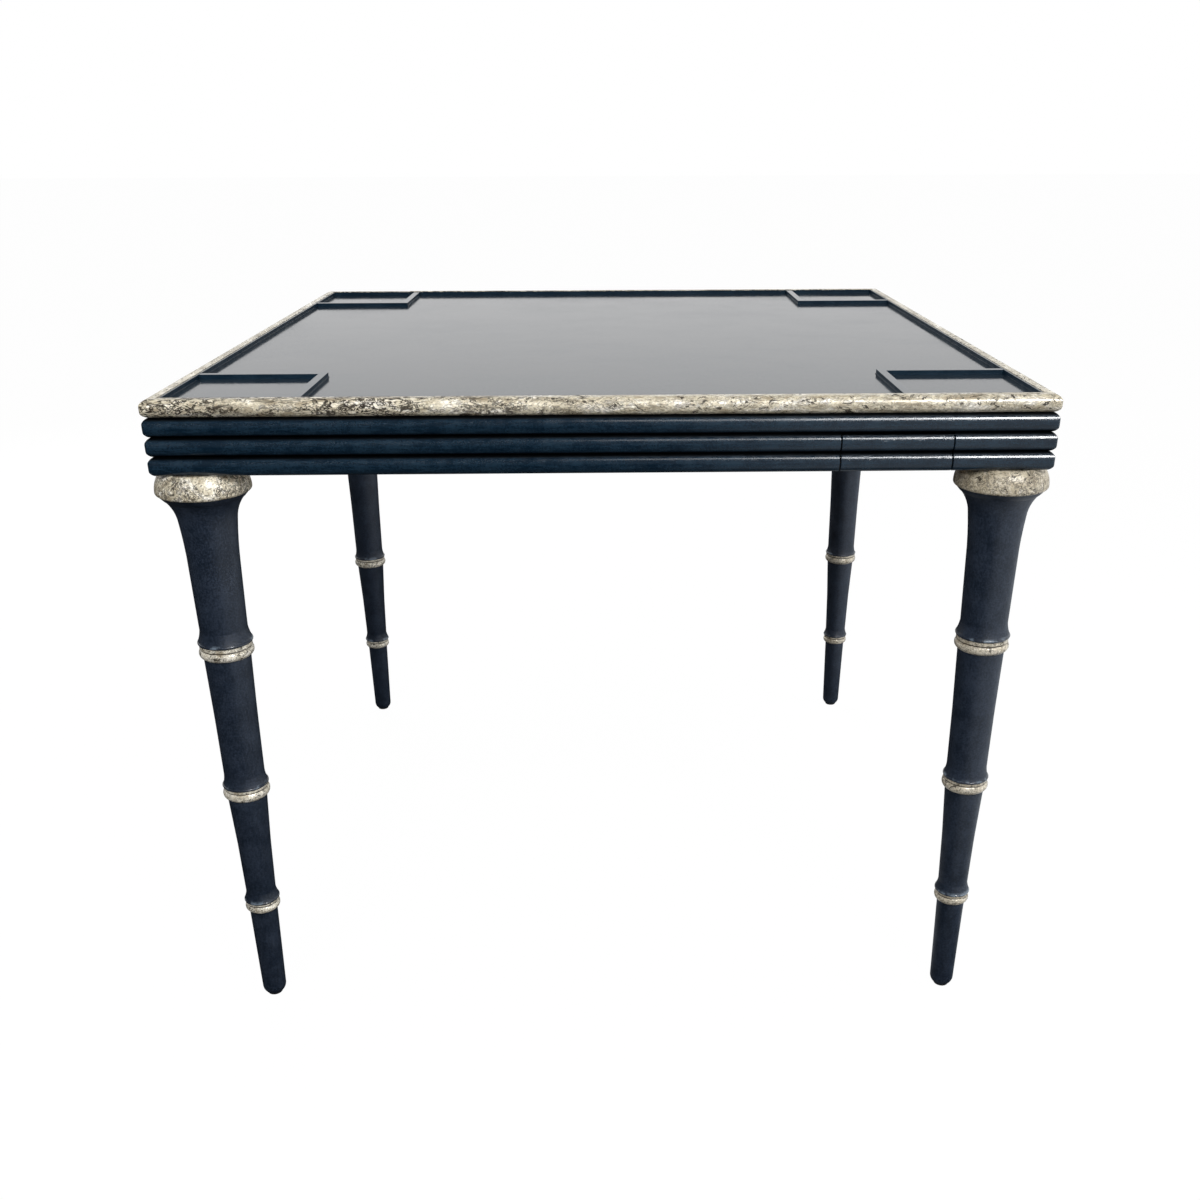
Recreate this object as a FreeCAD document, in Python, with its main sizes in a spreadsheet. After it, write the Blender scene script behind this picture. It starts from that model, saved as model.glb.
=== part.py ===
import FreeCAD, Part
import math
import os
import re
import Sketcher

# Games table: a square recessed field with a tray in each corner, a silver edge over three
# navy reeds, four small drawers cut from the lower two reeds, and four turned legs.
# The origin is on the floor under the middle of the table, the front faces -Y, sizes in mm.
# The table is the same from all four sides, so every side is the front turned about Z.

# Driving sizes
SIZES = {
    # the whole table, over the faces of the reeds
    "table_width": 914,
    "table_height": 740,
    # reeds of the rails and aprons
    "reed_height": 19.6,
    "reed_depth": 7.6,
    "reed_shoulder_share": 0.78,
    "reed_stock": 10,
    "reed_corner": 4.5,
    "rail_thickness": 22,
    # silver edge
    "edge_height": 18,
    "edge_width": 15,
    "edge_depth": 8.5,
    "edge_shoulder_share": 0.88,
    "edge_stock": 10.5,
    "edge_corner": 4,
    # playing panel, its lining and its cleats
    "field_recess": 5.8,
    "panel_thickness": 18,
    "panel_gap": 0.2,
    "lining_thickness": 2.5,
    "lining_drop": 0.6,
    "housing_depth": 1.5,
    "cleat_width": 20,
    "cleat_gap": 1,
    # corner trays
    "tray_size": 138.6,
    "divider_width": 9,
    "divider_height": 5,
    "bead_height": 0.9,
    "bead_depth": 0.6,
    # corner blocks
    "block_size": 80,
    "block_chamfer": 28,
    # drawers
    "drawer_front_width": 112,
    "drawer_gap": 1.6,
    "drawer_lip": 6,
    "drawer_box_length": 225,
    "drawer_headroom": 1.6,
    "drawer_wall": 8,
    "drawer_back_drop": 3,
    "drawer_floor": 4,
    "drawer_floor_lift": 1,
    # drawer runners
    "runner_guide": 8,
    "runner_ledge": 4,
    "runner_ledge_reach": 7,
    "runner_rise": 0.5,
    "runner_play": 1,
    "running_gap": 0.3,
    "guide_gap": 0.5,
    # legs
    "leg_inset": 40.6,
    "foot_flat_radius": 10.2,
    "foot_radius": 13.9,
    "foot_round": 9,
    "neck_radius": 27.2,
    "neck_share": 0.7,
    "neck_hollow": 0.35,
    "cove_radius": 30.1,
    "cove_height": 31,
    "cove_hollow": 1.9,
    "rim_radius": 39.5,
    "rim_height": 7.2,
    "rim_bulge": 0.5,
    # rings of a leg, from the floor up, placed by the middle of the silver bead
    "ring_3_height": 130,
    "ring_3_shaft": 16.1,
    "ring_3_step": 1,
    "ring_3_bead": 4,
    "ring_3_bead_half": 4.8,
    "ring_3_lip": 2.8,
    "ring_3_share": 0.79,
    "ring_2_height": 285,
    "ring_2_waist": 18.8,
    "ring_2_shaft": 21.9,
    "ring_2_step": 0.6,
    "ring_2_bead": 4.2,
    "ring_2_bead_half": 5.4,
    "ring_2_lip": 2,
    "ring_2_share": 0.89,
    "ring_1_height": 459.5,
    "ring_1_waist": 23.4,
    "ring_1_shaft": 25.2,
    "ring_1_step": 0.2,
    "ring_1_bead": 4.2,
    "ring_1_bead_half": 5.2,
    "ring_1_lip": 3.2,
    "ring_1_share": 1,
    # one ring, at the top one's size
    "groove_width": 1.1,
    "groove_depth": 2.4,
    "fillet_step": 1.3,
    "lip_low": 10.5,
    "lip_top": 14,
    "lip_round": 1.2,
    "flare_top": 26.5,
    "flare_hollow": 0.45,
    # capitals
    "capital_height": 24.4,
    "capital_crown": 21.4,
    "capital_radius": 48.8,
    "capital_top_radius": 40,
    "capital_foot_radius": 46,
    # hardware
    "bolt_radius": 4,
    "bolt_length": 94,
    "bolt_clearance": 0.3,
    "insert_radius": 6.5,
    "insert_length": 20,
    "glide_radius": 9,
    "glide_thickness": 3,
    "glide_round": 1,
    "nail_radius": 1.2,
    "nail_length": 12,
    "screw_radius": 2,
    "screw_head_radius": 4,
    "screw_head_height": 1.6,
    "screw_depth": 8.5,
    "screw_share": 0.82,
}

# Sides and corners, each the front one or the front right one turned about Z
SIDES = {"front": 0, "right": 90, "back": 180, "left": 270}
CORNERS = {"front_right": 0, "back_right": 90, "back_left": 180, "front_left": 270}
QUARTER_TURN = 90

doc = FreeCAD.newDocument("games_table")
sheet = doc.addObject("Spreadsheet::Sheet", "sizes")
for row, (name, size) in enumerate(SIZES.items(), start=1):
    sheet.set("A%d" % row, name)
    sheet.set("B%d" % row, str(size))
    sheet.setAlias("B%d" % row, name)
doc.recompute()

# Places worked out from the driving sizes, as expressions
HALF = "(table_width / 2)"
EDGE_INNER = "(table_width / 2 - edge_width)"
RAIL_INNER = "(table_width / 2 - rail_thickness)"
LINING_FACE = "(table_width / 2 - edge_width - lining_thickness)"
BEAD_FACE = f"({LINING_FACE} - bead_depth)"
TRAY_OUTER = f"({LINING_FACE} - tray_size)"
TRAY_INNER = f"({LINING_FACE} - tray_size + divider_width)"
EDGE_BOTTOM = "(table_height - edge_height)"
RAIL_BOTTOM = "(table_height - edge_height - reed_height)"
APRON_BOTTOM = "(table_height - edge_height - 3 * reed_height)"
FIELD = "(table_height - field_recess)"
HOUSING = "(table_height - field_recess - housing_depth)"
PANEL_BOTTOM = "(table_height - field_recess - panel_thickness)"
BEAD_TOP = "(table_height - field_recess + bead_height)"
LEG_TOP = f"({APRON_BOTTOM} - capital_height)"
LEG_AXIS = "(table_width / 2 - leg_inset)"
BOX_HALF = "(drawer_front_width / 2 - drawer_lip)"
BOX_BOTTOM = f"({APRON_BOTTOM} + runner_rise + runner_ledge + running_gap)"
BOX_BACK = f"({RAIL_INNER} - drawer_box_length)"
BOX_TOP = f"({RAIL_BOTTOM} - screw_head_height - drawer_headroom)"
DRAWER_MIDDLE = f"({RAIL_INNER} - block_size - runner_play - runner_guide - guide_gap - {BOX_HALF})"
OPENING_LEFT = f"({DRAWER_MIDDLE} - drawer_front_width / 2 - drawer_gap)"
OPENING_RIGHT = f"({DRAWER_MIDDLE} + drawer_front_width / 2 + drawer_gap)"


def bound(expression):
    # the same expression with each size read from the sheet
    return re.sub(r"[a-z]\w*", lambda word: "sizes." + word[0] if word[0] in SIZES else word[0],
                  expression)


def value(expression):
    return float(sheet.evalExpression(bound(expression)))


def turned(angle):
    return FreeCAD.Placement(FreeCAD.Vector(0, 0, 0), FreeCAD.Rotation(FreeCAD.Vector(0, 0, 1), angle))


# An outline runs anticlockwise. Each corner is its place across and up, and the edge that
# leaves it: None for a straight one, or its kind and size. A bulge and a hollow are arcs
# given by their rise, and a round and a cove are the same two given by their radius.
def arc_radius(start, stop, kind, size):
    if kind in ("round", "cove"):
        return size
    chord = f"((({stop[0]}) - ({start[0]}))^2 + (({stop[1]}) - ({start[1]}))^2)"
    return f"({chord} / 4 + ({size})^2) / (2 * ({size}))"


def arc_between(start, stop, radius, outward):
    chord = stop - start
    reach = math.sqrt(max(radius ** 2 - chord.Length ** 2 / 4, 0))
    side = FreeCAD.Vector(-chord.y, chord.x, 0).normalize() * reach
    centre = (start + stop) / 2 + (side if outward else -side)
    first, last = (start, stop) if outward else (stop, start)
    angles = [math.atan2(spot.y - centre.y, spot.x - centre.x) for spot in (first, last)]
    circle = Part.Circle(centre, FreeCAD.Vector(0, 0, 1), radius)
    return Part.ArcOfCircle(circle, *angles)


def constrain(sketch, named, plain=()):
    # each named constraint is its name, its expression and its kind with what it ties
    rules = [Sketcher.Constraint(*tie, value(expression)) for name, expression, tie in named]
    for rule, (name, expression, tie) in zip(rules, named):
        rule.Name = name
    sketch.addConstraint(rules + [Sketcher.Constraint(*tie) for tie in plain])
    for name, expression, tie in named:
        sketch.setExpression("Constraints." + name, bound(expression))


def draw(sketch, corners):
    count = len(corners)
    spots = [FreeCAD.Vector(value(across), value(up), 0) for across, up, edge in corners]
    edges = []
    ends = []
    named = []
    for here, (across, up, edge) in enumerate(corners):
        after = (here + 1) % count
        if edge is None:
            edges.append(Part.LineSegment(spots[here], spots[after]))
            ends.append((1, 2))
            continue
        kind, size = edge
        radius = arc_radius((across, up), corners[after][:2], kind, size)
        outward = kind in ("bulge", "round")
        edges.append(arc_between(spots[here], spots[after], value(radius), outward))
        ends.append((1, 2) if outward else (2, 1))
        named.append(("radius%d" % here, radius, ("Radius", here)))
    sketch.addGeometry(edges, False)
    plain = []
    for here, (across, up, edge) in enumerate(corners):
        after = (here + 1) % count
        plain.append(("Coincident", here, ends[here][1], after, ends[after][0]))
        for axis, line, place in (("X", -2, across), ("Y", -1, up)):
            if place == "0":
                plain.append(("PointOnObject", here, ends[here][0], line))
            else:
                tie = ("Distance" + axis, -1, 1, here, ends[here][0])
                named.append(("place%s%d" % (axis, here), place, tie))
    constrain(sketch, named, plain)


def add_sketch(body, plane, shift):
    # shift is along the plane's own two directions and its normal
    sketch = body.newObject("Sketcher::SketchObject", "Outline")
    support = [part for part in body.Origin.OriginFeatures if part.Role == plane][0]
    sketch.AttachmentSupport = (support, [""])
    sketch.MapMode = "FlatFace"
    for axis, amount in zip("xyz", shift):
        if amount != "0":
            sketch.setExpression("AttachmentOffset.Base." + axis, bound(amount))
    return sketch


def add_body(label, angle=0):
    body = doc.addObject("PartDesign::Body", label)
    body.Label = label
    body.Placement = turned(angle)
    return body


def pad(body, plane, corners, length, shift=("0", "0", "0")):
    sketch = add_sketch(body, plane, shift)
    draw(sketch, corners)
    feature = body.newObject("PartDesign::Pad", "Pad")
    feature.Profile = (sketch, [""])
    feature.setExpression("Length", bound(length))
    return feature


def revolve(body, plane, corners, angle):
    sketch = add_sketch(body, plane, ("0", "0", "0"))
    draw(sketch, corners)
    feature = body.newObject("PartDesign::Revolution", "Revolution")
    feature.Profile = (sketch, [""])
    feature.ReferenceAxis = (sketch, ["V_Axis"])
    feature.Angle = angle
    return feature


bores = []
trims = []


def sink(body, sketch, depth):
    feature = body.newObject("PartDesign::Pocket", "Pocket")
    feature.Profile = (sketch, [""])
    feature.setExpression("Length", bound(depth))
    return feature


def trim_end(body, corners, level, depth):
    # take the outline off, down from the level by the depth
    sketch = add_sketch(body, "XY_Plane", ("0", "0", level))
    draw(sketch, corners)
    trims.append(sink(body, sketch, depth))


def drill(body, spots, radius, level, depth):
    # round holes that run down from the level by the depth
    sketch = add_sketch(body, "XY_Plane", ("0", "0", level))
    circles = [Part.Circle(FreeCAD.Vector(value(across), value(up), 0), FreeCAD.Vector(0, 0, 1),
                           value(radius)) for across, up in spots]
    sketch.addGeometry(circles, False)
    named = []
    for here, (across, up) in enumerate(spots):
        named.append(("placeX%d" % here, across, ("DistanceX", -1, 1, here, 3)))
        named.append(("placeY%d" % here, up, ("DistanceY", -1, 1, here, 3)))
        named.append(("radius%d" % here, radius, ("Radius", here)))
    constrain(sketch, named)
    feature = sink(body, sketch, depth)
    bores.append((feature, len(spots) * math.pi * value(radius) ** 2 * value(depth)))


def rectangle(left, right, low, high):
    return [(left, low, None), (right, low, None), (right, high, None), (left, high, None)]


def block(body, left, right, front, back, bottom, top):
    # a plain box between six places
    return pad(body, "XY_Plane", rectangle(left, right, front, back), f"({top}) - ({bottom})",
               ("0", "0", bottom))


def group(label, members, angle=0):
    compound = doc.addObject("Part::Compound", label)
    compound.Label = label
    compound.Links = members
    compound.Placement = turned(angle)
    return compound


# A reeded face, seen from its end, reaching out from its back at zero. Each reed is a flat
# round between two tighter shoulders that meet it smoothly. A trim takes off the very top.
def reeds(rows, bottom, height, depth, shoulder_share, reach, trim=None):
    notch = f"-(({reach}) - ({depth}))"
    shoulder = f"({shoulder_share} * {depth})"
    rest = f"(({height}) / 2 - {shoulder})"
    crown = f"((({depth})^2 + {rest}^2 - {shoulder}^2) / (2 * (({depth}) - {shoulder})))"
    out = f"(({crown} - {depth}) * {shoulder} / ({crown} - {shoulder}))"
    along = f"(({height}) / 2 - {crown} * {rest} / ({crown} - {shoulder}))"
    corners = []
    for row in reversed(range(rows)):
        low = f"({bottom} + {row} * ({height}))" if row else bottom
        high = f"({bottom} + {row + 1} * ({height}))"
        corners += [
            (notch, high, ("round", shoulder)),
            (f"{notch} - {out}", f"{high} - {along}", ("round", crown)),
            (f"{notch} - {out}", f"{low} + {along}", ("round", shoulder)),
        ]
    if trim:
        cut = f"sqrt({shoulder}^2 - ({shoulder} - {trim})^2)"
        corners[0] = (f"{notch} - {cut}", f"{corners[0][1]} - {trim}", corners[0][2])
    return [(notch, bottom, None), ("0", bottom, None), ("0", corners[0][1], None)] + corners


# A board of one side with reeds on its face. The cores are its thicknesses behind the stock
# that the reeds are cut from, each with its inner place, bottom and top. An end is mitred
# unless its place is given, and the tip of a mitred end is eased to a round corner.
def reeded_board(label, angle, cores, face, stock, corner, left=None, right=None):
    body = add_body(label, angle)
    back = f"({HALF} - {stock})"
    for inner, bottom, top in cores:
        plan = [
            (left or f"-{back}", f"-{back}", None),
            (right or back, f"-{back}", None),
            (right or inner, f"-{inner}", None),
            (left or f"-{inner}", f"-{inner}", None),
        ]
        pad(body, "XY_Plane", plan, f"{top} - {bottom}", ("0", "0", bottom))
    start = left or f"-{HALF}"
    stop = right or HALF
    pad(body, "YZ_Plane", face, f"({stop}) - ({start})", (f"-{back}", "0", start))
    bottom, top = cores[0][1], cores[-1][2]
    tip = f"({HALF} - {corner} + {corner} / sqrt(2))"
    past = f"({HALF} + {corner})"
    if not right:
        trim_end(body, [
            (back, f"-{back}", None),
            (tip, f"-{tip}", ("cove", corner)),
            (f"({HALF} - {corner})", f"-{HALF}", None),
            (f"({HALF} - {corner})", f"-{past}", None),
            (past, f"-{past}", None),
            (past, f"-{back}", None),
        ], top, f"{top} - {bottom}")
    if not left:
        trim_end(body, [
            (f"-{back}", f"-{back}", None),
            (f"-{past}", f"-{back}", None),
            (f"-{past}", f"-{past}", None),
            (f"-({HALF} - {corner})", f"-{past}", None),
            (f"-({HALF} - {corner})", f"-{HALF}", ("cove", corner)),
            (f"-{tip}", f"-{tip}", None),
        ], top, f"{top} - {bottom}")
    return body


# Silver edge, navy rail and the two apron boards of one side
def edge_moulding(side, angle):
    face = reeds(1, EDGE_BOTTOM, "edge_height", "edge_depth", "edge_shoulder_share", "edge_stock")
    cores = [(EDGE_INNER, EDGE_BOTTOM, "table_height")]
    return reeded_board("edge_moulding_" + side, angle, cores, face, "edge_stock", "edge_corner")


def rail(side, angle):
    face = reeds(1, RAIL_BOTTOM, "reed_height", "reed_depth", "reed_shoulder_share", "reed_stock")
    cores = [(RAIL_INNER, RAIL_BOTTOM, PANEL_BOTTOM), (EDGE_INNER, PANEL_BOTTOM, EDGE_BOTTOM)]
    return reeded_board("rail_" + side, angle, cores, face, "reed_stock", "reed_corner")


def apron(label, angle, left, right):
    face = reeds(2, APRON_BOTTOM, "reed_height", "reed_depth", "reed_shoulder_share", "reed_stock")
    cores = [(RAIL_INNER, APRON_BOTTOM, RAIL_BOTTOM)]
    return reeded_board(label, angle, cores, face, "reed_stock", "reed_corner", left, right)


# Strips on the field, let into grooves of the panel: a face with a small bead along its foot
def lining(side, angle):
    body = add_body("lining_" + side, angle)
    for inner, bottom, top in ((BEAD_FACE, HOUSING, BEAD_TOP),
                               (LINING_FACE, BEAD_TOP, "(table_height - lining_drop)")):
        plan = [(f"-{EDGE_INNER}", f"-{EDGE_INNER}", None), (EDGE_INNER, f"-{EDGE_INNER}", None),
                (inner, f"-{inner}", None), (f"-{inner}", f"-{inner}", None)]
        pad(body, "XY_Plane", plan, f"{top} - {bottom}", ("0", "0", bottom))
    return body


def divider(corner, angle):
    levels = (
        (HOUSING, BEAD_TOP, f"({TRAY_OUTER} - bead_depth)", f"({TRAY_INNER} + bead_depth)", BEAD_FACE),
        (BEAD_TOP, f"({FIELD} + divider_height)", TRAY_OUTER, TRAY_INNER, LINING_FACE),
    )
    strips = []
    for run in ("along", "across"):
        body = add_body("divider_strip_%s_%s" % (run, corner))
        for bottom, top, far, near, wall in levels:
            plan = [(far, f"-{far}", None), (far, f"-{wall}", None), (near, f"-{wall}", None),
                    (near, f"-{near}", None)]
            if run == "across":
                plan = [(far, f"-{far}", None), (near, f"-{near}", None), (wall, f"-{near}", None),
                        (wall, f"-{far}", None)]
            pad(body, "XY_Plane", plan, f"{top} - {bottom}", ("0", "0", bottom))
        strips.append(body)
    return group("tray_divider_" + corner, strips, angle)


# Panel, cleats and screws, three screws to a side
CLEAT_END = f"({RAIL_INNER} - block_size - cleat_gap)"
SCREWS = [(place, f"-({RAIL_INNER} - cleat_width / 2)")
          for place in (f"-screw_share * {CLEAT_END}", "0", f"screw_share * {CLEAT_END}")]


def quarter_turned(spots, turns):
    for turn in range(turns):
        spots = [(f"-({up})", across) for across, up in spots]
    return spots


def playing_panel():
    body = add_body("playing_panel")
    reach = f"({EDGE_INNER} - panel_gap)"
    block(body, f"-{reach}", reach, f"-{reach}", reach, PANEL_BOTTOM, HOUSING)
    # between the grooves stand the open field, a cross, and the floors of the trays
    far, near = f"({TRAY_OUTER} - bead_depth)", f"({TRAY_INNER} + bead_depth)"
    arm = [(f"-{far}", f"-{BEAD_FACE}"), (far, f"-{BEAD_FACE}"), (far, f"-{far}")]
    cross = [spot for turn in range(len(SIDES)) for spot in quarter_turned(arm, turn)]
    tray = [(near, f"-{BEAD_FACE}"), (BEAD_FACE, f"-{BEAD_FACE}"), (BEAD_FACE, f"-{near}"),
            (near, f"-{near}")]
    for island in [cross] + [quarter_turned(tray, turn) for turn in range(len(CORNERS))]:
        pad(body, "XY_Plane", [(across, up, None) for across, up in island], "housing_depth",
            ("0", "0", HOUSING))
    spots = [spot for angle in SIDES.values() for spot in quarter_turned(SCREWS, angle // QUARTER_TURN)]
    drill(body, spots, "screw_radius", f"({PANEL_BOTTOM} + screw_depth)", "screw_depth")
    return body


def cleat(side, angle):
    body = add_body("cleat_" + side, angle)
    block(body, f"-{CLEAT_END}", CLEAT_END, f"-{RAIL_INNER}", f"-({RAIL_INNER} - cleat_width)",
          RAIL_BOTTOM, PANEL_BOTTOM)
    drill(body, SCREWS, "screw_radius", PANEL_BOTTOM, f"{PANEL_BOTTOM} - {RAIL_BOTTOM}")
    return body


def turned_piece(label, corners, across, up):
    body = add_body(label)
    revolve(body, "XZ_Plane", corners, 360)
    body.setExpression("Placement.Base.x", bound(across))
    body.setExpression("Placement.Base.y", bound(up))
    return body


def screws_of(side, angle):
    tip = f"({PANEL_BOTTOM} + screw_depth)"
    outline = [("0", f"{RAIL_BOTTOM} - screw_head_height", None),
               ("screw_head_radius", f"{RAIL_BOTTOM} - screw_head_height", None),
               ("screw_head_radius", RAIL_BOTTOM, None), ("screw_radius", RAIL_BOTTOM, None),
               ("screw_radius", tip, None), ("0", tip, None)]
    members = [turned_piece("screw_%s_%d" % (side, index), outline, across, up)
               for index, (across, up) in enumerate(SCREWS, start=1)]
    return group("screws_" + side, members, angle)


# One drawer with its runners, in the frame of the front side
def drawer_front(side, angle):
    body = add_body("drawer_front_" + side, angle)
    face = reeds(2, APRON_BOTTOM, "reed_height", "reed_depth", "reed_shoulder_share", "rail_thickness",
                 "drawer_gap")
    pad(body, "YZ_Plane", face, "drawer_front_width",
        (f"-{RAIL_INNER}", "0", f"({DRAWER_MIDDLE} - drawer_front_width / 2)"))
    return body


def drawer_sides(side, angle):
    walls = []
    outer = {"left": f"({DRAWER_MIDDLE} - {BOX_HALF})",
             "right": f"({DRAWER_MIDDLE} + {BOX_HALF} - drawer_wall)"}
    for name, start in outer.items():
        body = add_body("drawer_wall_%s_%s" % (name, side))
        block(body, start, f"({start} + drawer_wall)", f"-{RAIL_INNER}", f"-{BOX_BACK}", BOX_BOTTOM,
              BOX_TOP)
        walls.append(body)
    return group("drawer_sides_" + side, walls, angle)


def drawer_back(side, angle):
    body = add_body("drawer_back_" + side, angle)
    block(body, f"({DRAWER_MIDDLE} - {BOX_HALF} + drawer_wall)",
          f"({DRAWER_MIDDLE} + {BOX_HALF} - drawer_wall)", f"-({BOX_BACK} + drawer_wall)",
          f"-{BOX_BACK}", BOX_BOTTOM, f"({BOX_TOP} - drawer_back_drop)")
    return body


def drawer_bottom(side, angle):
    body = add_body("drawer_bottom_" + side, angle)
    level = f"({BOX_BOTTOM} + drawer_floor_lift)"
    block(body, f"({DRAWER_MIDDLE} - {BOX_HALF} + drawer_wall)",
          f"({DRAWER_MIDDLE} + {BOX_HALF} - drawer_wall)", f"-{RAIL_INNER}",
          f"-({BOX_BACK} + drawer_wall)", level, f"({level} + drawer_floor)")
    return body


def runners_of(side, angle):
    members = []
    front = f"-({RAIL_INNER} - cleat_width)"
    ledge_bottom = f"({APRON_BOTTOM} + runner_rise)"
    ledge_top = f"({ledge_bottom} + runner_ledge)"
    inner_left = f"({DRAWER_MIDDLE} - {BOX_HALF} - guide_gap)"
    inner_right = f"({DRAWER_MIDDLE} + {BOX_HALF} + guide_gap)"
    spans = {
        "guide_left": (f"({inner_left} - runner_guide)", inner_left, ledge_bottom, PANEL_BOTTOM),
        "guide_right": (inner_right, f"({inner_right} + runner_guide)", ledge_bottom, PANEL_BOTTOM),
        "ledge_left": (inner_left, f"({inner_left} + runner_ledge_reach)", ledge_bottom, ledge_top),
        "ledge_right": (f"({inner_right} - runner_ledge_reach)", inner_right, ledge_bottom, ledge_top),
    }
    for name, (left, right, bottom, top) in spans.items():
        body = add_body("%s_%s" % (name, side))
        block(body, left, right, front, f"-{BOX_BACK}", bottom, top)
        members.append(body)
    return group("runners_" + side, members, angle)


# Corner block with the bore for its insert
def corner_block(corner, angle):
    body = add_body("corner_block_" + corner, angle)
    inner = f"({RAIL_INNER} - block_size)"
    plan = [(inner, f"-{RAIL_INNER}", None), (RAIL_INNER, f"-{RAIL_INNER}", None),
            (RAIL_INNER, f"-{inner}", None), (f"({inner} + block_chamfer)", f"-{inner}", None),
            (inner, f"-({inner} + block_chamfer)", None)]
    pad(body, "XY_Plane", plan, f"{PANEL_BOTTOM} - {APRON_BOTTOM}", ("0", "0", APRON_BOTTOM))
    drill(body, [(LEG_AXIS, f"-{LEG_AXIS}")], "insert_radius", f"({APRON_BOTTOM} + insert_length)",
          "insert_length")
    return body


# The profile of one ring of a leg, from the shaft below it to the end of the flare above it
def ring(number):
    own = "ring_%d_" % number
    share = own + "share"
    middle = own + "height"
    shaft = own + "shaft"
    above = f"({shaft} + {own}step)"
    bead = f"({shaft} + {own}bead)"
    half = own + "bead_half"
    groove = f"({bead} - groove_depth * {share})"
    groove_top = f"{middle} + {half} + groove_width * {share}"
    fillet = f"({bead} - fillet_step * {share})"
    return [
        (shaft, f"{middle} - {half}", ("bulge", f"({bead} - ({shaft} + {groove}) / 2)")),
        (groove, f"{middle} + {half}", None),
        (groove, groove_top, None),
        (fillet, groove_top, None),
        (fillet, f"{middle} + lip_low * {share}", ("bulge", f"(lip_round * {share})")),
        (f"({above} + {own}lip)", f"{middle} + lip_top * {share}",
         ("hollow", f"(flare_hollow * {share})")),
        (above, f"({middle} + flare_top * {share})", None),
    ]


def waist(number, below):
    # the middle of the shaft between a ring and the corner below it
    own = "ring_%d_" % number
    return (own + "waist", f"(({own}height - {own}bead_half + {below[1]}) / 2)", None)


def rounding(across, up):
    # radius of an arc that spans both distances and ends upright
    return f"((({across})^2 + ({up})^2) / (2 * ({across})))"


def leg(corner, across, up):
    cove_start = f"({LEG_TOP} - cove_height)"
    bore = f"({APRON_BOTTOM} + insert_length - bolt_length)"
    outline = [
        ("0", "(glide_thickness + nail_length)", None),
        ("nail_radius", "(glide_thickness + nail_length)", None),
        ("nail_radius", "glide_thickness", None),
        ("foot_flat_radius", "glide_thickness",
         ("round", rounding("foot_radius - foot_flat_radius", "foot_round"))),
        ("foot_radius", "(glide_thickness + foot_round)", None),
    ]
    outline += ring(3)
    outline += [waist(2, outline[-1])] + ring(2)
    outline += [waist(1, outline[-1])] + ring(1)
    ring_end = outline[-1][1]
    outline += [
        ("neck_radius", f"({ring_end} + neck_share * ({cove_start} - {ring_end}))",
         ("hollow", "neck_hollow")),
        ("cove_radius", cove_start, ("hollow", "cove_hollow")),
        ("rim_radius", f"({LEG_TOP} - rim_height)", ("bulge", "rim_bulge")),
        ("capital_foot_radius", LEG_TOP, None),
        ("bolt_radius", LEG_TOP, None),
        ("bolt_radius", bore, None),
        ("0", bore, None),
    ]
    return turned_piece("leg_" + corner, outline, across, up)


def capital(corner, across, up):
    crown = f"({APRON_BOTTOM} - capital_crown)"
    low = "(capital_height - capital_crown)"
    bore = "(bolt_radius + bolt_clearance)"
    outline = [
        (bore, LEG_TOP, None),
        ("capital_foot_radius", LEG_TOP,
         ("round", rounding("capital_radius - capital_foot_radius", low))),
        ("capital_radius", crown,
         ("round", rounding("capital_radius - capital_top_radius", "capital_crown"))),
        ("capital_top_radius", APRON_BOTTOM, None),
        (bore, APRON_BOTTOM, None),
    ]
    return turned_piece("capital_" + corner, outline, across, up)


def hanger_bolt(corner, across, up):
    tip = f"({APRON_BOTTOM} + insert_length)"
    outline = rectangle("0", "bolt_radius", f"({tip} - bolt_length)", tip)
    return turned_piece("hanger_bolt_" + corner, outline, across, up)


def threaded_insert(corner, across, up):
    outline = rectangle("bolt_radius", "insert_radius", APRON_BOTTOM,
                        f"({APRON_BOTTOM} + insert_length)")
    return turned_piece("threaded_insert_" + corner, outline, across, up)


def foot_glide(corner, across, up):
    outline = [
        ("0", "0", None),
        ("glide_radius - glide_round", "0", ("round", "glide_round")),
        ("glide_radius", "glide_round", None),
        ("glide_radius", "glide_thickness", None),
        ("nail_radius", "glide_thickness", None),
        ("nail_radius", "(glide_thickness + nail_length)", None),
        ("0", "(glide_thickness + nail_length)", None),
    ]
    return turned_piece("foot_glide_" + corner, outline, across, up)


# Build every piece and keep those that are written as files
pieces = [playing_panel()]
for side, angle in SIDES.items():
    pieces += [
        edge_moulding(side, angle),
        lining(side, angle),
        rail(side, angle),
        apron("apron_long_" + side, angle, None, OPENING_LEFT),
        apron("apron_short_" + side, angle, OPENING_RIGHT, None),
        drawer_front(side, angle),
        drawer_sides(side, angle),
        drawer_back(side, angle),
        drawer_bottom(side, angle),
    ]
small = {"hanger_bolts": hanger_bolt, "threaded_inserts": threaded_insert, "foot_glides": foot_glide}
sets = {name: [] for name in small}
for corner, angle in CORNERS.items():
    across, up = quarter_turned([(LEG_AXIS, f"-{LEG_AXIS}")], angle // QUARTER_TURN)[0]
    pieces += [
        divider(corner, angle),
        corner_block(corner, angle),
        leg(corner, across, up),
        capital(corner, across, up),
    ]
    for name, make in small.items():
        sets[name].append(make(corner, across, up))
pieces += [group(name, members) for name, members in sets.items()]
pieces.append(group("panel_cleats", [cleat(side, angle) for side, angle in SIDES.items()]))
pieces.append(group("panel_screws", [screws_of(side, angle) for side, angle in SIDES.items()]))
pieces.append(group("drawer_runners", [runners_of(side, angle) for side, angle in SIDES.items()]))

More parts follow.
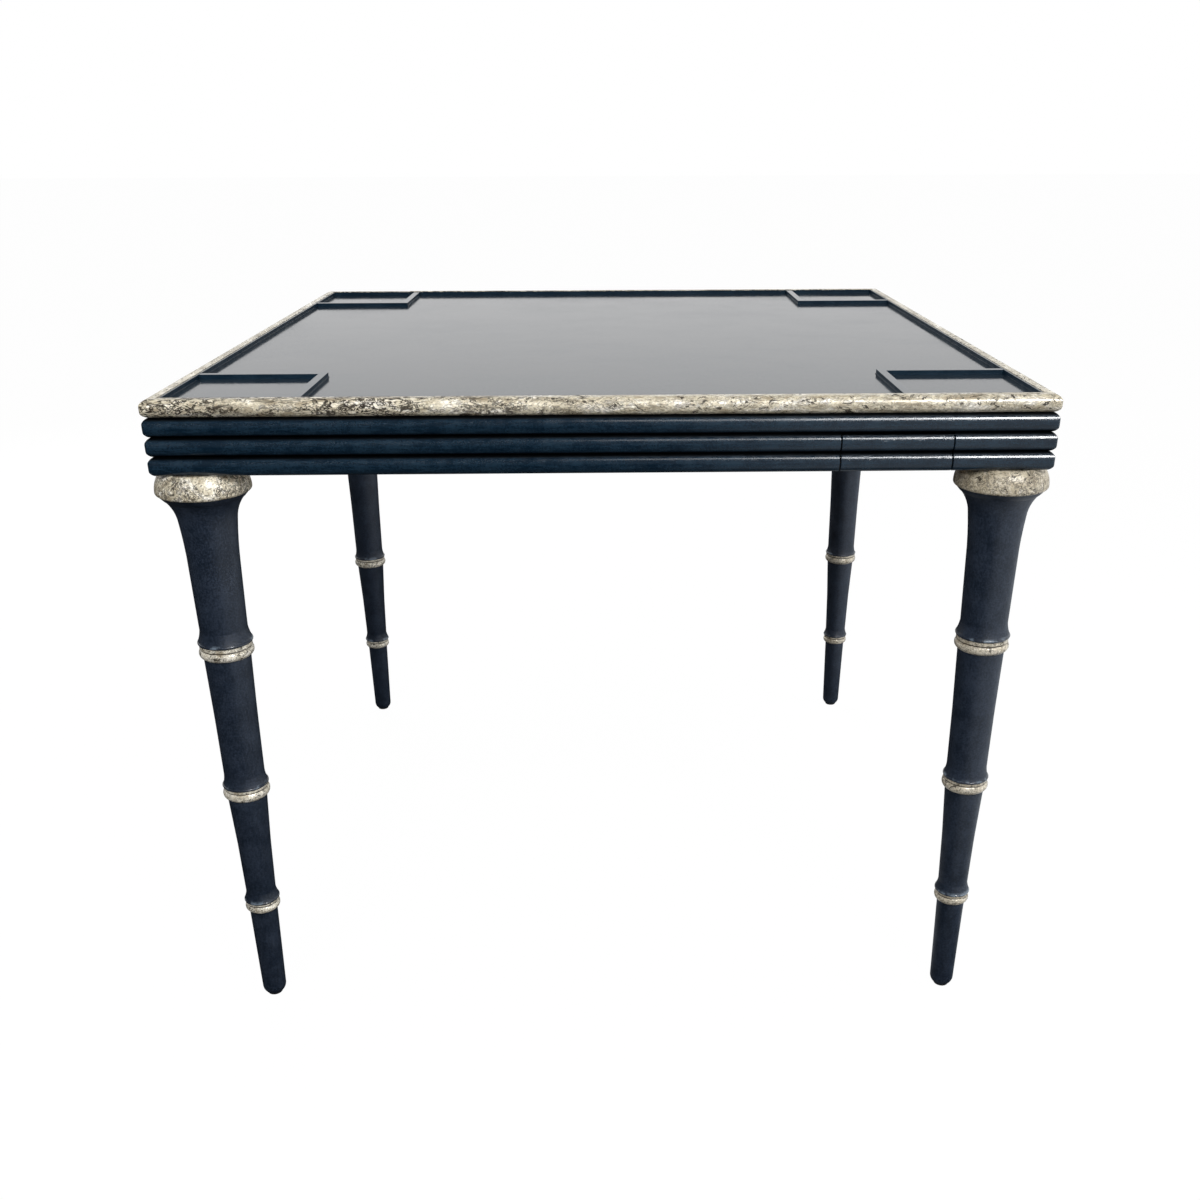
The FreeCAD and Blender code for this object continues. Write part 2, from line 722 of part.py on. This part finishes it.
doc.recompute()
for part in doc.Objects:
    if "Invalid" in part.State or "Error" in part.State:
        raise RuntimeError("%s is %s" % (part.Label, part.State))
for feature, wanted in bores:
    removed = feature.BaseFeature.Shape.Volume - feature.Shape.Volume
    if not math.isclose(removed, wanted, rel_tol=0.01):
        raise RuntimeError("%s cut %.1f, not %.1f" % (feature.Label, removed, wanted))
for feature in trims:
    if feature.BaseFeature.Shape.Volume - feature.Shape.Volume <= 0:
        raise RuntimeError("%s of %s cut nothing" % (feature.Label, feature.getParent().Label))
for part in pieces:
    if part.Shape.isNull() or not part.Shape.isValid():
        raise RuntimeError("%s has no valid shape" % part.Label)

os.makedirs("parts", exist_ok=True)
for part in pieces:
    part.Shape.exportStep(os.path.join("parts", part.Label + ".step"))
    box = part.Shape.BoundBox
    print("%-26s %d solids  %.1f x %.1f x %.1f" % (part.Label, len(part.Shape.Solids), box.XLength,
                                                   box.YLength, box.ZLength))
print("%d files" % len(pieces))
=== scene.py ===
import math

import bpy
from mathutils import Matrix, Vector

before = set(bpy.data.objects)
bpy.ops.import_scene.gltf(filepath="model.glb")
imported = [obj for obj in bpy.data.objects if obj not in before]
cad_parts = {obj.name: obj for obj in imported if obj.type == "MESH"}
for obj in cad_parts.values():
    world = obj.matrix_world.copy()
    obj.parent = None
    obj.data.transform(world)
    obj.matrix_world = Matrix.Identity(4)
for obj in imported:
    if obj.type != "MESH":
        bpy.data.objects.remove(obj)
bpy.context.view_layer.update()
print("frame loaded,", len(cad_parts), "pieces")

sides = {"front": "x", "right": "y", "back": "x", "left": "y"}  # the way each side's boards run
corners = ("front_right", "back_right", "back_left", "front_left")

# camera, set to the photograph's place and lens, with its angles in degrees

cameraSet = {
    "place": (0.00298, -1.68868, 0.98056),
    "down": 23.794,
    "turn": 0.888,
    "roll": -0.193,
    "lens": 37.338,
    "sensor": 36.0,
    "shift": (-0.0220, 0.0661),
    "nearest": 0.05,
}


def makeCamera(values):
    down, turn, roll = (math.radians(values[key]) for key in ("down", "turn", "roll"))
    level = math.cos(down)
    ahead = Vector((math.sin(turn) * level, math.cos(turn) * level, -math.sin(down)))
    right = Vector((math.cos(turn), -math.sin(turn), 0))
    up = right.cross(ahead)
    across = math.cos(roll) * right + math.sin(roll) * up
    above = math.cos(roll) * up - math.sin(roll) * right
    bpy.ops.object.camera_add(location=values["place"])
    camera = bpy.context.object
    camera.rotation_euler = Matrix((across, above, -ahead)).transposed().to_euler()
    camera.data.lens = values["lens"]
    camera.data.sensor_width = values["sensor"]
    camera.data.shift_x, camera.data.shift_y = values["shift"]
    camera.data.clip_start = values["nearest"]
    bpy.context.scene.camera = camera


makeCamera(cameraSet)
print("camera set")


# shader maths: a wire is one output socket, and an expression on wires adds its Math nodes

class Wire:
    def __init__(self, tree, socket=None):
        self.tree = tree
        self.socket = socket

    def add(self, kind, settings, sockets, output=0):
        node = self.tree.nodes.new(kind)
        for name, setting in settings.items():
            setattr(node, name, setting)
        for name, value in sockets.items():
            if isinstance(value, Wire):
                self.tree.links.new(value.socket, node.inputs[name])
            else:
                node.inputs[name].default_value = value
        return Wire(self.tree, node.outputs[output] if len(node.outputs) else None)

    def maths(self, operation, first, second=0.0, clamp=False):
        return self.add("ShaderNodeMath", {"operation": operation, "use_clamp": clamp},
                        {0: first, 1: second})

    def __add__(self, other):
        return self.maths("ADD", self, other)

    def __sub__(self, other):
        return self.maths("SUBTRACT", self, other)

    def __rsub__(self, other):
        return self.maths("SUBTRACT", other, self)

    def __mul__(self, other):
        return self.maths("MULTIPLY", self, other)

    def __truediv__(self, other):
        return self.maths("DIVIDE", self, other)

    def __rtruediv__(self, other):
        return self.maths("DIVIDE", other, self)

    __radd__ = __add__
    __rmul__ = __mul__

    def most(self, other):
        return self.maths("MAXIMUM", self, other)

    def band(self, low, high):  # 0 below low, 1 above high, smooth between
        return self.add("ShaderNodeMapRange", {"interpolation_type": "SMOOTHSTEP"},
                        {"Value": self, "From Min": low, "From Max": high})

    def close(self, level, inner, outer):  # 1 within inner of the level, 0 past outer
        return 1 - self.maths("ABSOLUTE", self - level).band(inner, outer)

    def axis(self, letter):
        return self.add("ShaderNodeSeparateXYZ", {}, {"Vector": self}, letter)

    def mix(self, share, first, second):  # 0, 6 and 7 are the factor and the two colours
        first, second = (c if isinstance(c, Wire) else (*c, 1) for c in (first, second))
        return self.add("ShaderNodeMix", {"data_type": "RGBA"}, {0: share, 6: first, 7: second}, 2)

    def mixShaders(self, share, first, second):
        return self.add("ShaderNodeMixShader", {}, {0: share, 1: first, 2: second})


def newMaterial(name):
    material = bpy.data.materials.new(name)
    material.use_nodes = True
    material.node_tree.nodes.clear()
    return material, Wire(material.node_tree)


def finishMaterial(start, sockets):
    surface = start.add("ShaderNodeBsdfPrincipled", {}, sockets)
    start.add("ShaderNodeOutputMaterial", {}, {"Surface": surface})


def objectPlace(start):
    return start.add("ShaderNodeTexCoord", {}, {}, "Object")


# each noise is written as stretch, scale, detail, roughness and warp
# a stretch under 1 draws it out along the board

def noise(start, run, stretch, scale, detail=3.0, rough=0.55, warp=0.0):
    sizes = [stretch if run == letter else 1.0 for letter in "xyz"]
    where = start.add("ShaderNodeMapping", {"vector_type": "POINT"},
                      {"Vector": objectPlace(start), "Scale": sizes})
    return start.add("ShaderNodeTexNoise", {},
                     {"Vector": where, "Scale": scale, "Detail": detail, "Roughness": rough,
                      "Distortion": warp})


def noises(start, run, values, *names):
    return [noise(start, run, *values[name]) for name in names]


def softNormal(start, height, strength, depth, edge):
    rounded = start.add("ShaderNodeBevel", {"samples": 4}, {"Radius": edge})
    return start.add("ShaderNodeBump", {},
                     {"Height": height, "Strength": strength, "Distance": depth, "Normal": rounded})


# navy lacquer: brushed on, satin, a little uneven, with painted shade in the creases between the
# reeds

navySet = {
    "colour": (0.0010, 0.0068, 0.0150),
    "lightColour": (0.0085, 0.0215, 0.0365),
    "cloud": (1.0, 38.0, 4.0, 0.6),
    "strokes": (0.12, 420.0, 3.0, 0.6),
    "ripples": (0.45, 170.0, 3.0, 0.55, 0.3),
    "grain": (1.0, 520.0, 2.0, 0.6),
    "sheen": (1.0, 90.0, 2.0),
    "chips": (0.5, 260.0, 2.0, 0.6, 1.2),
    "shares": (0.4, 0.40, 0.35),  # of cloud, strokes and grain in the colour
    "spread": (-0.14, 0.16),
    "rough": (0.14, 0.24),
    "sheenBand": (0.3, 0.7),
    "chipBand": (0.56, 0.62),
    "chipCloud": (0.46, 0.56),
    "chipDepth": 0.0,
    "brush": 0.13,
    "brushDepth": 0.0008,
    "edge": 0.0006,
    "creases": (0.6828, 0.7024, 0.7220),
    "creaseReach": (0.00114, 0.0038),
    # painted shade in the creases: near-black colour, its share, added roughness and dull black metal
    "paintedCreaseShade": (0.0005, 0.0008, 0.0012),
    "paintedCreaseShadeShare": 0.9,
    "paintedCreaseShadeRough": 0.35,
    "paintedCreaseShadeDull": 0.85,  # black metal mirrors next to nothing
}
drawerSet = {"brush": 0.22, "chipDepth": 0.55}  # drawer fronts are handled, so they are more uneven


def lacquerParts(start, run, values):
    cloud, strokes, ripples, grain, sheen, chips = noises(
        start, run, values, "cloud", "strokes", "ripples", "grain", "sheen", "chips")
    cloudShare, strokeShare, grainShare = values["shares"]
    middle = 0.5 * (cloudShare + strokeShare + grainShare)
    below, above = values["spread"]
    tone = cloud * cloudShare + strokes * strokeShare + grain * grainShare
    tone = tone.band(middle + below, middle + above)
    colour = start.mix(tone, values["colour"], values["lightColour"])
    low, high = values["rough"]
    rough = low + (high - low) * sheen.band(*values["sheenBand"])
    chips = chips.band(*values["chipBand"]) * cloud.band(*values["chipCloud"])
    height = ripples * 0.7 + strokes * 0.3 - chips * values["chipDepth"]
    return colour, rough, height


def navyLacquer(name, run, values):
    material, start = newMaterial(name + run.upper())
    colour, rough, height = lacquerParts(start, run, values)
    up = objectPlace(start).axis("Z")
    # painted shade: at the crease levels the lacquer turns near black, rougher and dull
    creases = [up.close(level, *values["creaseReach"]) for level in values["creases"]]
    crease = sum(creases[1:], creases[0])
    colour = start.mix(crease * values["paintedCreaseShadeShare"], colour, values["paintedCreaseShade"])
    rough = start.maths("ADD", rough, crease * values["paintedCreaseShadeRough"], clamp=True)
    normal = softNormal(start, height, values["brush"], values["brushDepth"], values["edge"])
    finishMaterial(start, {"Base Color": colour, "Roughness": rough, "Normal": normal, "IOR": 1.5,
                           "Metallic": crease * values["paintedCreaseShadeDull"]})
    return material


# linings and dividers: the same navy, rubbed matt on the sides and polished on top

liningSet = {
    "colour": (0.0030, 0.0110, 0.0210),
    "lightColour": (0.0085, 0.0205, 0.0340),
    "mattRough": 0.35,
    "mattGloss": 0.12,
    "topRough": 0.02,
    "topShare": 0.5,
    "top": (0.5, 0.8),  # how far a face has to look up to be the polished top
    "brush": 0.15,
    "brushDepth": 0.0006,
}


def liningLacquer(run, values):
    material, start = newMaterial("liningLacquer" + run.upper())
    colour, rough, height = lacquerParts(start, run, values)
    normal = softNormal(start, height, values["brush"], values["brushDepth"], values["edge"])
    topRough = values["topRough"] + rough * values["topShare"]
    matt = start.add("ShaderNodeBsdfPrincipled", {},
                     {"Base Color": colour, "Roughness": values["mattRough"] + rough,
                      "Specular IOR Level": values["mattGloss"], "Normal": normal})
    gloss = start.add("ShaderNodeBsdfPrincipled", {},
                      {"Base Color": colour, "Roughness": topRough, "Normal": normal, "IOR": 1.5})
    up = start.add("ShaderNodeNewGeometry", {}, {}, "Normal").axis("Z")
    both = start.mixShaders(up.band(*values["top"]), matt, gloss)
    start.add("ShaderNodeOutputMaterial", {}, {"Surface": both})
    return material


# the playing field: the same navy under a smooth polished coat, so it mirrors the wall at a glance

fieldSet = {
    "colour": (0.0110, 0.0170, 0.0240),
    "lightColour": (0.0160, 0.0240, 0.0320),
    "cloud": (1.0, 9.0, 4.0, 0.6),
    "grain": (1.0, 260.0, 3.0, 0.6),
    "waves": (1.0, 55.0, 2.0),
    "lightBand": (0.35, 0.7),
    "rough": (0.07, 0.16),
    "roughBand": (0.35, 0.65),
    "wave": 0.10,
    "waveDepth": 0.0006,
    "edge": 0.0005,
}


def fieldLacquer(values):
    material, start = newMaterial("fieldLacquer")
    cloud, grain, waves = noises(start, "none", values, "cloud", "grain", "waves")
    colour = start.mix(cloud.band(*values["lightBand"]), values["colour"], values["lightColour"])
    low, high = values["rough"]
    rough = low + (high - low) * (cloud * 0.5 + grain * 0.5).band(*values["roughBand"])
    height = waves * 0.5 + grain * 0.5
    normal = softNormal(start, height, values["wave"], values["waveDepth"], values["edge"])
    finishMaterial(start, {"Base Color": colour, "Roughness": rough, "Normal": normal, "IOR": 1.5})
    return material


# silver leaf over a dark ground: warm grey, crazed by thin dark lines, rubbed through in streaks,
# with painted shade towards the right

leafSet = {
    "leaf": (0.66, 0.605, 0.470),
    "bright": (1.00, 0.965, 0.880),
    "dull": (0.30, 0.250, 0.170),
    "ground": (0.013, 0.008, 0.004),
    "broad": (0.26, 80.0, 4.0, 0.66, 0.6),
    "fine": (0.52, 210.0, 4.0, 0.72, 1.0),
    "worms": (0.52, 90.0, 1.5, 0.5, 2.6),
    "hairs": (0.52, 150.0, 1.5, 0.5, 2.0),
    "patches": (0.26, 45.0, 2.0, 0.5),
    "streaks": (0.10, 260.0, 4.0, 0.62, 0.6),
    "specks": (0.52, 150.0, 4.0, 0.72, 1.6),
    "grit": (0.52, 560.0, 2.0, 0.6),
    "leafBand": (0.38, 0.50),
    "brightBand": (0.50, 0.62),
    "gritBand": (0.38, 0.56),
    "gritShare": 0.50,
    "wormLine": (0.5, 0.022, 0.070),
    "hairLine": (0.47, 0.030, 0.090),
    "lineBand": (0.42, 0.50),
    "clusterBand": (0.30, 0.48),
    "streakBand": (0.35, 0.42),
    "patchBand": (0.42, 0.62),
    "dotBand": (0.375, 0.405),
    "dotCluster": 0.05,
    "paintedRightShade": {"x": 0.14, "y": 0.0, "none": 0.52},  # painted shade: the leaf is darkened towards the right
    "wear": {"x": (0.50, 1.0), "y": (0.4, 0.4), "none": (0.65, 0.85)},  # right and left end
    "wearSpan": (-0.25, 0.10),
    "metal": 0.20,
    "rough": (0.44, 0.60),
    "roughBand": (0.35, 0.65),
    "bareRough": 0.15,
    "varnish": 0.7,
    "varnishRough": {"x": 0.18, "y": 0.18, "none": 0.30},
    "relief": 0.35,
    "reliefDepth": 0.0006,
    "edge": 0.0008,
}


def leafParts(start, run, values):
    broad, fine, worms, hairs, patches, streaks, specks, grit = noises(
        start, run, values, "broad", "fine", "worms", "hairs", "patches", "streaks", "specks", "grit")
    tone = broad * 0.6 + fine * 0.4
    base = start.mix(tone.band(*values["leafBand"]), values["dull"], values["leaf"])
    base = start.mix(tone.band(*values["brightBand"]), base, values["bright"])
    base = start.mix((1 - grit.band(*values["gritBand"])) * values["gritShare"], base, values["dull"])
    rightward = objectPlace(start).axis("X").band(*values["wearSpan"])
    # painted shade: towards the right the leaf is mixed towards its dull colour
    base = start.mix(rightward * values["paintedRightShade"][run], base, values["dull"])
    right, left = values["wear"][run]
    wear = left + rightward * (right - left)
    clusters = patches.band(*values["clusterBand"]) * wear
    worms = worms.close(*values["wormLine"])
    hairs = hairs.close(*values["hairLine"])
    cracks = (worms * (clusters * 0.5 + wear * 0.5)).most(hairs * clusters)
    cracks = cracks * fine.band(*values["lineBand"])
    whole = 1 - patches.band(*values["patchBand"]) * 0.5
    rubbedLeafAndLipHighlight = (1 - streaks.band(*values["streakBand"])) * whole * wear
    dots = 1 - (specks - clusters * values["dotCluster"]).band(*values["dotBand"])
    bare = cracks.most(rubbedLeafAndLipHighlight * 0.9).most(dots * 0.95)
    colour = start.mix(bare, base, values["ground"])
    low, high = values["rough"]
    rough = low + (high - low) * fine.band(*values["roughBand"])
    rough = start.maths("ADD", rough, bare * values["bareRough"], clamp=True)
    metal = values["metal"] * (1 - bare)
    height = broad * 0.25 + fine * 0.35 + (1 - bare) * 0.4
    varnish = values["varnish"] * (1 - bare * 0.9)
    return colour, rough, metal, height, varnish


def silverLeaf(run, values):
    material, start = newMaterial("silverLeaf" + run.upper())
    colour, rough, metal, height, varnish = leafParts(start, run, values)
    normal = softNormal(start, height, values["relief"], values["reliefDepth"], values["edge"])
    finishMaterial(start, {"Base Color": colour, "Roughness": rough, "Metallic": metal,
                           "Normal": normal, "IOR": 1.5, "Coat Weight": varnish,
                           "Coat Roughness": values["varnishRough"][run]})
    return material


# legs: navy lacquer with silver leaf on each ring, lightened there as painted light, dark glaze left
# in the groove, and a painted highlight along each lip

legSet = {
    "colour": (0.0028, 0.0066, 0.0138),
    "lightColour": (0.0172, 0.0250, 0.0410),
    "shares": (0.4, 0.08, 0.60),
    "rough": (0.40, 0.50),
    # painted light: the rings' leaf and dull colours are a lighter copy of the silver leaf, for the
    # strong light the rings catch
    "leaf": {"leaf": (0.92, 0.87, 0.74), "dull": (0.42, 0.36, 0.26), "metal": 0.35,
             "rough": (0.30, 0.42), "wear": {"none": (0.55, 0.55)}},
    "rings": (  # lower end, upper end and groove
        (0.4543, 0.4700, 0.4652),
        (0.2796, 0.29435, 0.29095),
        (0.1252, 0.1383, 0.1352),
    ),
    "waver": (1.0, 90.0, 2.0),
    "waverHeight": 0.0007,
    "blur": 0.00025,
    "groove": (0.00055, 0.0011),
    "glaze": (0.022, 0.014, 0.008),
    "glazeShare": 0.9,
    "rubbedLeafAndLipHighlight": (0.105, 0.135, 0.170),  # painted highlight: lighter colour along each lip
    "lipHighlightSpots": (1.0, 60.0, 3.0, 0.6),
    "lipHighlightSpotBand": (0.50, 0.62),
    "lipLow": (0.0008, 0.0016),  # above the ring's upper end
    "lipHigh": (0.00186, 0.0062),
    "coatRough": 0.18,
    "relief": 0.35,
    "reliefDepth": 0.0007,
}


def legFinish(values, leaf):
    material, start = newMaterial("legFinish")
    colour, rough, height = lacquerParts(start, "z", values)
    leafColour, leafRough, leafMetal, leafHeight, varnish = leafParts(start, "none", leaf)
    waver, lipHighlightSpots = noises(start, "z", values, "waver", "lipHighlightSpots")
    lipHighlightSpots = lipHighlightSpots.band(*values["lipHighlightSpotBand"])
    up = objectPlace(start).axis("Z")
    level = up + (waver - 0.5) * (2 * values["waverHeight"])
    blur = values["blur"]
    rings, grooves, lips = [], [], []
    for low, high, middle in values["rings"]:
        rings.append(level.band(low - blur, low + blur) * (1 - level.band(high - blur, high + blur)))
        grooves.append(up.close(middle, *values["groove"]))
        lipLow, lipHigh = ([high + step for step in values[key]] for key in ("lipLow", "lipHigh"))
        lips.append(up.band(*lipLow) * (1 - up.band(*lipHigh)))
        # painted highlight: lighter blue-grey in spots along each lip
        colour = start.mix(lips[-1] * lipHighlightSpots, colour, values["rubbedLeafAndLipHighlight"])
    silver, groove, lip = (sum(parts[1:], parts[0]) for parts in (rings, grooves, lips))
    leafColour = start.mix(groove * values["glazeShare"], leafColour, values["glaze"])
    normal = softNormal(start, height * (1 - silver) + leafHeight * silver,
                        values["relief"], values["reliefDepth"], values["edge"])
    finishMaterial(start, {
        "Base Color": start.mix(silver, colour, leafColour),
        "Roughness": rough * (1 - silver) + leafRough * silver,
        "Metallic": silver * leafMetal * (1 - groove), "Normal": normal, "IOR": 1.5,
        "Coat Weight": silver * varnish * (1 - groove) + lip, "Coat Roughness": values["coatRough"]})
    return material


# inside: planed wood, steel, brass and the dark glides

woodSet = {
    "rings": (0.06, 55.0, 4.0, 0.6, 0.8),
    "pores": (0.03, 900.0, 2.0, 0.6),
    "ringCount": 14.0,
    "shadeBand": (0.2, 0.8),
    "poreRough": 0.15,
    "relief": 0.25,
    "reliefDepth": 0.0004,
    "edge": 0.0005,
}
blockSet = {"light": (0.42, 0.30, 0.185), "dark": (0.26, 0.165, 0.090), "rough": 0.62}
drawerWoodSet = {"light": (0.50, 0.37, 0.235), "dark": (0.34, 0.225, 0.125), "rough": 0.48}


def planedWood(name, run, values):
    material, start = newMaterial(name + run.upper())
    rings, pores = noises(start, run, values, "rings", "pores")
    grain = start.maths("FRACT", rings * values["ringCount"]) * 0.5 + rings * 0.5
    shade = (grain * 0.7 + pores * 0.3).band(*values["shadeBand"])
    colour = start.mix(shade, values["dark"], values["light"])
    normal = softNormal(start, pores, values["relief"], values["reliefDepth"], values["edge"])
    rough = values["rough"] + (pores - 0.5) * values["poreRough"]
    finishMaterial(start, {"Base Color": colour, "Roughness": rough, "Normal": normal})
    return material


metalSet = {
    "wear": (1.0, 700.0, 3.0),
    "wearBand": (0.3, 0.7),
    "wearShades": (0.80, 1.15),
    "wearRough": 0.2,
    "relief": 0.1,
    "reliefDepth": 0.0003,
    "edge": 0.0004,
}
steelSet = {"colour": (0.50, 0.50, 0.51), "rough": 0.32, "metal": 1.0}
brassSet = {"colour": (0.62, 0.45, 0.20), "rough": 0.35, "metal": 1.0}
glideSet = {"colour": (0.018, 0.018, 0.019), "rough": 0.55, "metal": 0.0}


def plainFinish(name, values):
    material, start = newMaterial(name)
    wear = noise(start, "none", *values["wear"])
    dark, light = (tuple(c * shade for c in values["colour"]) for shade in values["wearShades"])
    colour = start.mix(wear.band(*values["wearBand"]), dark, light)
    normal = softNormal(start, wear, values["relief"], values["reliefDepth"], values["edge"])
    finishMaterial(start, {"Base Color": colour, "Metallic": values["metal"], "Normal": normal,
                           "Roughness": values["rough"] + (wear - 0.5) * values["wearRough"]})
    return material


# dress every CAD piece

def dress(names, material):
    for name in names:
        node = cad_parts[name]
        node.data.materials.clear()
        node.data.materials.append(material)
        for face in node.data.polygons:
            face.material_index = 0


navy = {run: navyLacquer("navyLacquer", run, navySet) for run in ("x", "y")}
handled = {run: navyLacquer("drawerLacquer", run, {**navySet, **drawerSet}) for run in ("x", "y")}
lining = {run: liningLacquer(run, {**navySet, **liningSet}) for run in ("x", "y")}
leaf = {run: silverLeaf(run, leafSet) for run in ("x", "y", "none")}
drawerWood = {run: planedWood("drawerWood", run, {**woodSet, **drawerWoodSet}) for run in ("x", "y")}
blockWood = planedWood("blockWood", "x", {**woodSet, **blockSet})
legs = legFinish({**navySet, **legSet}, {**leafSet, **legSet["leaf"]})

for side, run in sides.items():
    other = "y" if run == "x" else "x"
    dress(["rail_" + side, "apron_long_" + side, "apron_short_" + side], navy[run])
    dress(["drawer_front_" + side], handled[run])
    dress(["lining_" + side], lining[run])
    dress(["edge_moulding_" + side], leaf[run])
    dress(["drawer_sides_" + side, "drawer_bottom_" + side], drawerWood[other])
    dress(["drawer_back_" + side], drawerWood[run])
for corner in corners:
    dress(["tray_divider_" + corner], lining["x"])
    dress(["leg_" + corner], legs)
    dress(["capital_" + corner], leaf["none"])
    dress(["corner_block_" + corner], blockWood)
dress(["playing_panel"], fieldLacquer(fieldSet))
dress(["panel_cleats", "drawer_runners"], blockWood)
dress(["hanger_bolts", "panel_screws"], plainFinish("steel", {**metalSet, **steelSet}))
dress(["threaded_inserts"], plainFinish("brass", {**metalSet, **brassSet}))
dress(["foot_glides"], plainFinish("glide", {**metalSet, **glideSet}))
print("finishes made and put on")

# floor and room: white to the camera, but the lacquer mirrors a room that is dark, with a bright wall
# behind the table and light from the front right; in the gloss the floor glows as a painted pool of
# light

floorSet = {
    "size": 60.0,
    "grey": 0.20,
    "glow": 1.07,
    "glowShare": 0.92,
    "mirrored": (0.90, 0.95, 1.00),
    "dark": 0.03,
    "bright": 0.72,
    "fanFrom": 0.773,  # the bright floor in front opens like a fan from here
    "fan": (0.02, 0.25),
    "fanEnd": (-0.9, -0.5),
    "slant": 0.5,  # and at the right it starts on a slanted line
    "beside": (0.1, 0.8),
    "besideEnd": (-0.45, -0.30),
    "besideOut": (0.55, 0.80),
}


def makeFloor(values):
    bpy.ops.object.select_all(action="DESELECT")
    bpy.ops.mesh.primitive_plane_add(size=values["size"], location=(0, 0, 0))
    floor = bpy.context.object
    floor.name = "floor"
    material, start = newMaterial("paleFloor")
    grey, dark, bright = values["grey"], values["dark"], values["bright"]
    matt = start.add("ShaderNodeBsdfDiffuse", {}, {"Color": (grey, grey, grey, 1)})
    glow = start.add("ShaderNodeEmission", {}, {"Color": (1, 1, 1, 1), "Strength": values["glow"]})
    seen = start.add("ShaderNodeLightPath", {}, {}, "Is Camera Ray")
    plain = start.mixShaders(seen * values["glowShare"], matt, glow)
    right, ahead = (objectPlace(start).axis(letter) for letter in "XY")
    # painted light: seen in the gloss, the floor glows, dim overall and bright in a fan in front and
    # a patch at the right
    fan = (right / (values["fanFrom"] - ahead)).band(*values["fan"])
    fan = fan * (1 - ahead.band(*values["fanEnd"]))
    beside = (right - ahead * values["slant"]).band(*values["beside"])
    beside = beside * ahead.band(*values["besideEnd"]).most(right.band(*values["besideOut"]))
    strength = dark + fan.most(beside) * (bright - dark)
    pool = start.add("ShaderNodeEmission", {},
                     {"Color": (*values["mirrored"], 1), "Strength": strength})
    glossy = start.add("ShaderNodeLightPath", {}, {}, "Is Glossy Ray")
    start.add("ShaderNodeOutputMaterial", {}, {"Surface": start.mixShaders(glossy, plain, pool)})
    floor.data.materials.append(material)


roomSet = {
    "wall": 0.92,
    "bright": 0.72,
    "front": 0.12,
    "ceiling": 0.06,
    "ambient": 0.22,
    "wallBand": (0.10, 0.55),
    "overBand": (0.45, 0.9),
    "cornerBand": (0.0, 0.26),
    "cornerEnd": (-0.4, 0.0),
    "rightBand": (0.30, 0.75),
}


def makeRoom(values):
    world = bpy.data.worlds.new("room")
    bpy.context.scene.world = world
    world.use_nodes = True
    world.node_tree.nodes.clear()
    start = Wire(world.node_tree)
    way = start.add("ShaderNodeTexCoord", {}, {}, "Generated")
    right, ahead, up = (way.axis(letter) for letter in "XYZ")
    front = values["front"]
    around = ahead.band(*values["wallBand"]) * (values["wall"] - front) + front
    corner = right.band(*values["cornerBand"]) * (1 - ahead.band(*values["cornerEnd"]))
    lit = corner.most(right.band(*values["rightBand"])) * (values["bright"] - front)
    over = up.band(*values["overBand"])
    mirrored = around.most(lit + front) * (1 - over) + over * values["ceiling"]
    seen = start.add("ShaderNodeLightPath", {}, {}, "Is Camera Ray")
    glossy = start.add("ShaderNodeLightPath", {}, {}, "Is Glossy Ray")
    strength = (1 - glossy) * values["ambient"] + glossy * mirrored
    strength = strength * (1 - seen) + seen
    light = start.add("ShaderNodeBackground", {}, {"Color": (1, 1, 1, 1), "Strength": strength})
    start.add("ShaderNodeOutputWorld", {}, {"Surface": light})


# lamps: the three glint lamps are seen in the gloss only, and the others light the matt part only

lampSet = {  # place, aim, size and power
    "key": ((1.02, -2.10, 2.40), (0.2, -0.3, 0.6), (0.72, 0.34), 35.0),
    "glint": ((1.18, -2.11, 2.16), (0.2, -0.3, 0.6), (0.36, 0.42), 31.0),
    "glintMiddle": ((0.79, -2.11, 2.16), (0.2, -0.3, 0.6), (0.42, 0.42), 11.0),
    "glintEdge": ((0.29, -2.11, 2.16), (0.1, -0.3, 0.6), (0.58, 0.42), 2.8),
    "fill": ((-0.8, -2.3, 1.90), (0.0, 0.0, 0.5), (1.3, 1.0), 51.0),
    "side": ((2.3, -0.5, 0.62), (0.0, -0.2, 0.4), (1.4, 1.15), 40.0),
    "back": ((-1.3, 2.7, 1.5), (0.0, 0.0, 0.4), (1.8, 1.2), 60.0),
    "top": ((0.3, 0.6, 3.2), (0.0, 0.0, 0.6), (2.0, 2.0), 40.0),
}


def makeLamp(name, place, aim, size, power):
    bpy.ops.object.light_add(type="AREA", location=place)
    lamp = bpy.context.object
    lamp.name = name
    lamp.data.shape = "RECTANGLE"
    lamp.data.size, lamp.data.size_y = size
    lamp.data.energy = power
    lamp.visible_camera = False
    lamp.visible_glossy = name.startswith("glint")
    lamp.visible_diffuse = not lamp.visible_glossy
    lamp.rotation_euler = (Vector(aim) - Vector(place)).to_track_quat("-Z", "Y").to_euler()


makeFloor(floorSet)
makeRoom(roomSet)
for lampName, lampValues in lampSet.items():
    makeLamp(lampName, *lampValues)
bpy.context.scene.view_settings.view_transform = "Standard"
print("room and lamps made")
